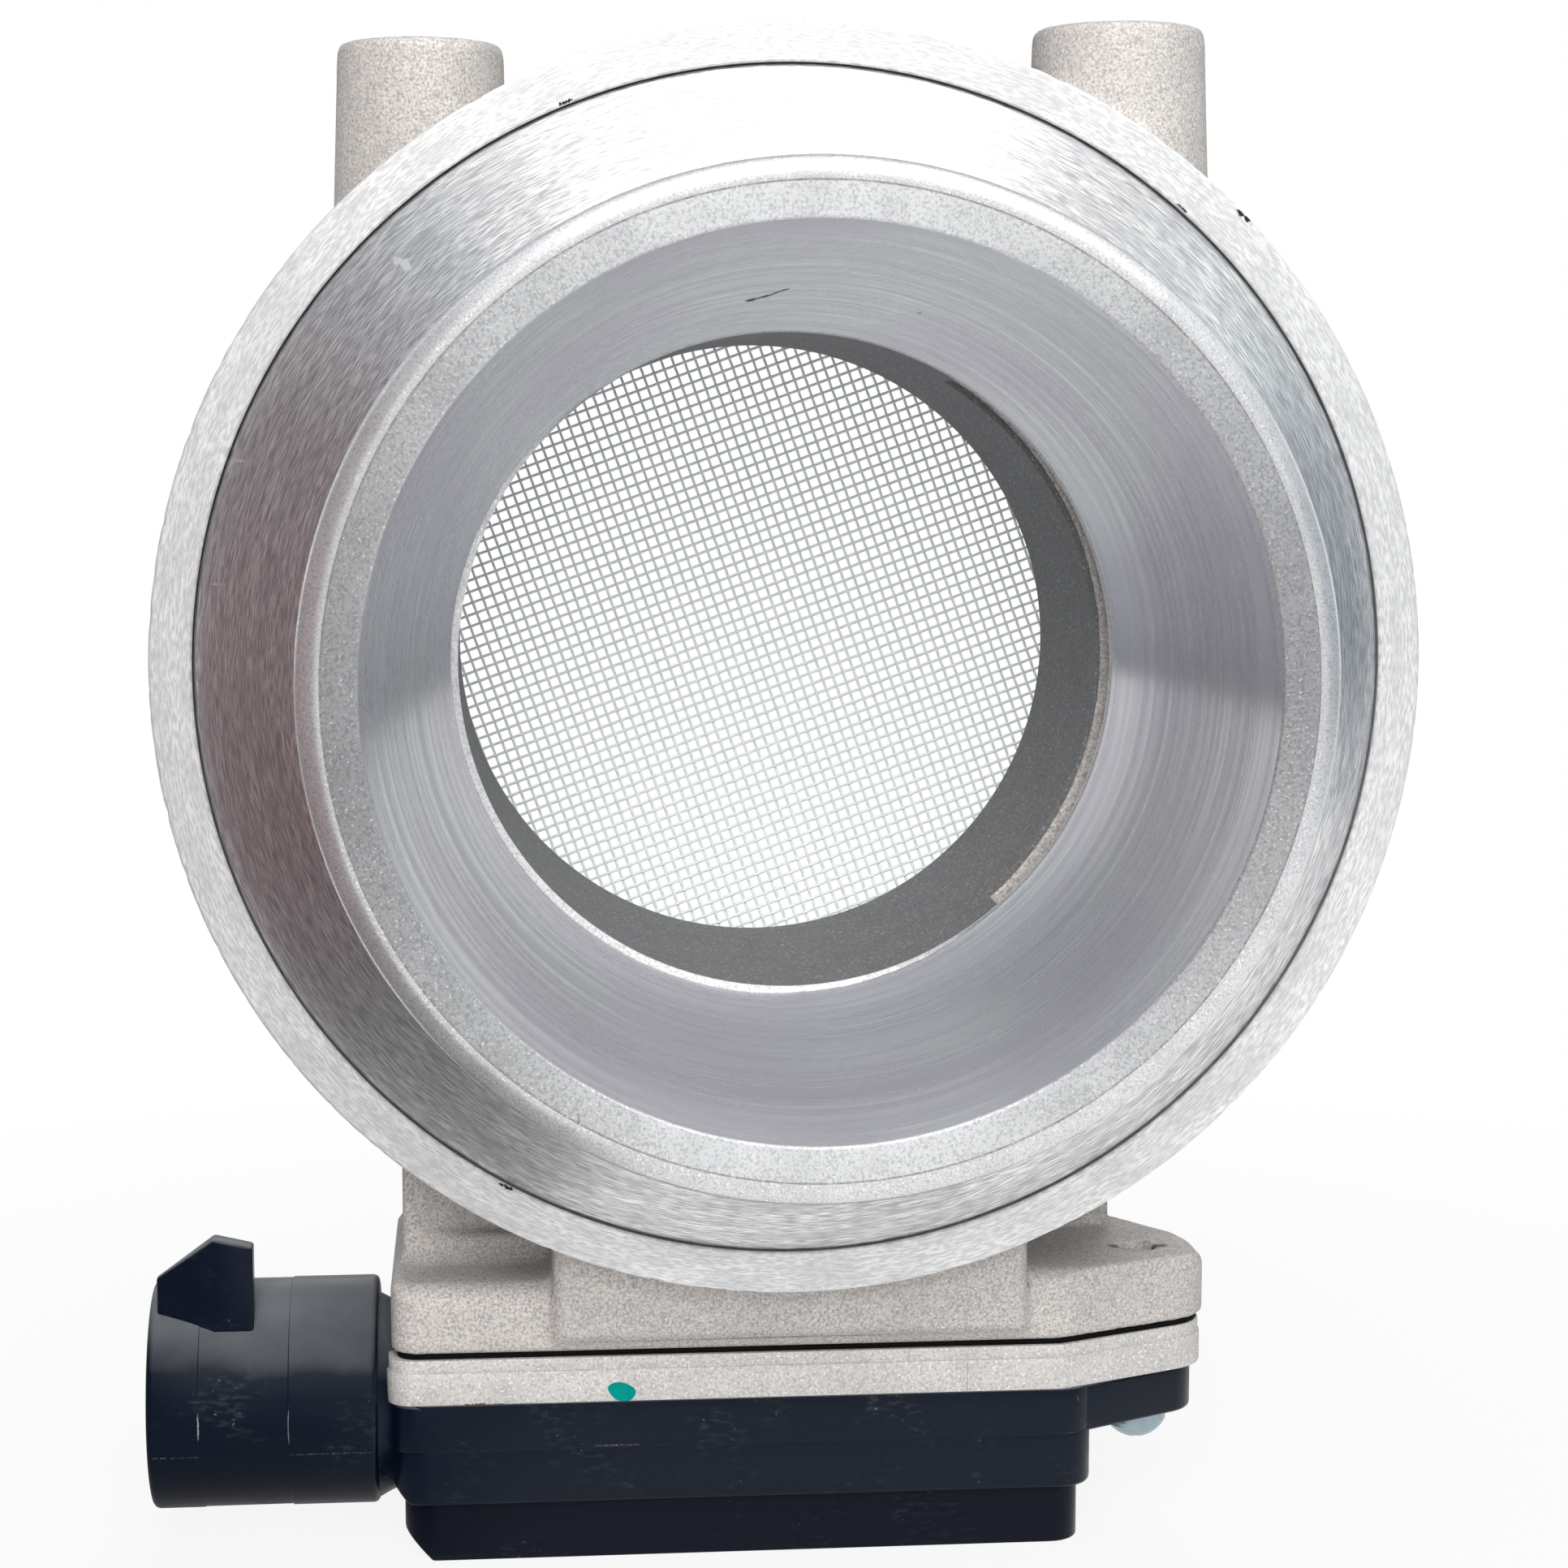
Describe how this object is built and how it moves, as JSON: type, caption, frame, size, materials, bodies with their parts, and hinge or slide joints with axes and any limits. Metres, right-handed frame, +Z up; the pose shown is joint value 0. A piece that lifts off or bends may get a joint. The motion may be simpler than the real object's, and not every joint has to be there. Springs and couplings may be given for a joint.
{
  "type": "mass airflow sensor",
  "caption": "Cast metal engine air meter: a screened bore with a turned hose nozzle, upright mounting bosses, and a moulded sensing module with a round plug socket underneath.",
  "frame": {"origin": "on the bore axis, in the machined face of the outlet flange", "axes": "-Y along the bore the way the air leaves, +Z up through the mounting bosses, +X right as seen from the outlet"},
  "size_m": [0.1357, 0.1112, 0.1652],
  "materials": {
    "cast_alloy": "satin",
    "turned_alloy": "satin",
    "plate_alloy": "satin",
    "screen_wire": "satin",
    "ring_steel": "satin",
    "gasket_rubber": "matt",
    "case_plastic": "satin",
    "cover_plastic": "satin",
    "zinc_steel": "satin",
    "ceramic": "matt",
    "chip_plastic": "matt",
    "capacitor_ceramic": "matt",
    "resistor_ceramic": "matt",
    "terminal_tin": "satin",
    "lead_wire": "bright",
    "probe_plastic": "satin",
    "seal_rubber": "matt",
    "pin_steel": "satin",
    "wound_wire": "satin"
  },
  "bodies": {
    "root": {"housing": "cast_alloy", "outlet_nozzle": "turned_alloy", "inlet_screen": "screen_wire", "screen_ring": "ring_steel", "base_gasket": "gasket_rubber", "base_plate": "plate_alloy", "module_case": "case_plastic", "module_cover": "cover_plastic", "module_screws": "zinc_steel", "circuit_board": "ceramic", "power_transistor": "chip_plastic", "control_chip": "chip_plastic", "signal_chip": "chip_plastic", "capacitors": "capacitor_ceramic", "chip_resistors": "resistor_ceramic", "terminals": "terminal_tin", "bond_leads": "lead_wire", "probe_body": "probe_plastic", "probe_seal": "seal_rubber", "support_pins": "pin_steel", "hot_wire": "wound_wire", "cold_wire": "wound_wire"}
  },
  "joints": []
}
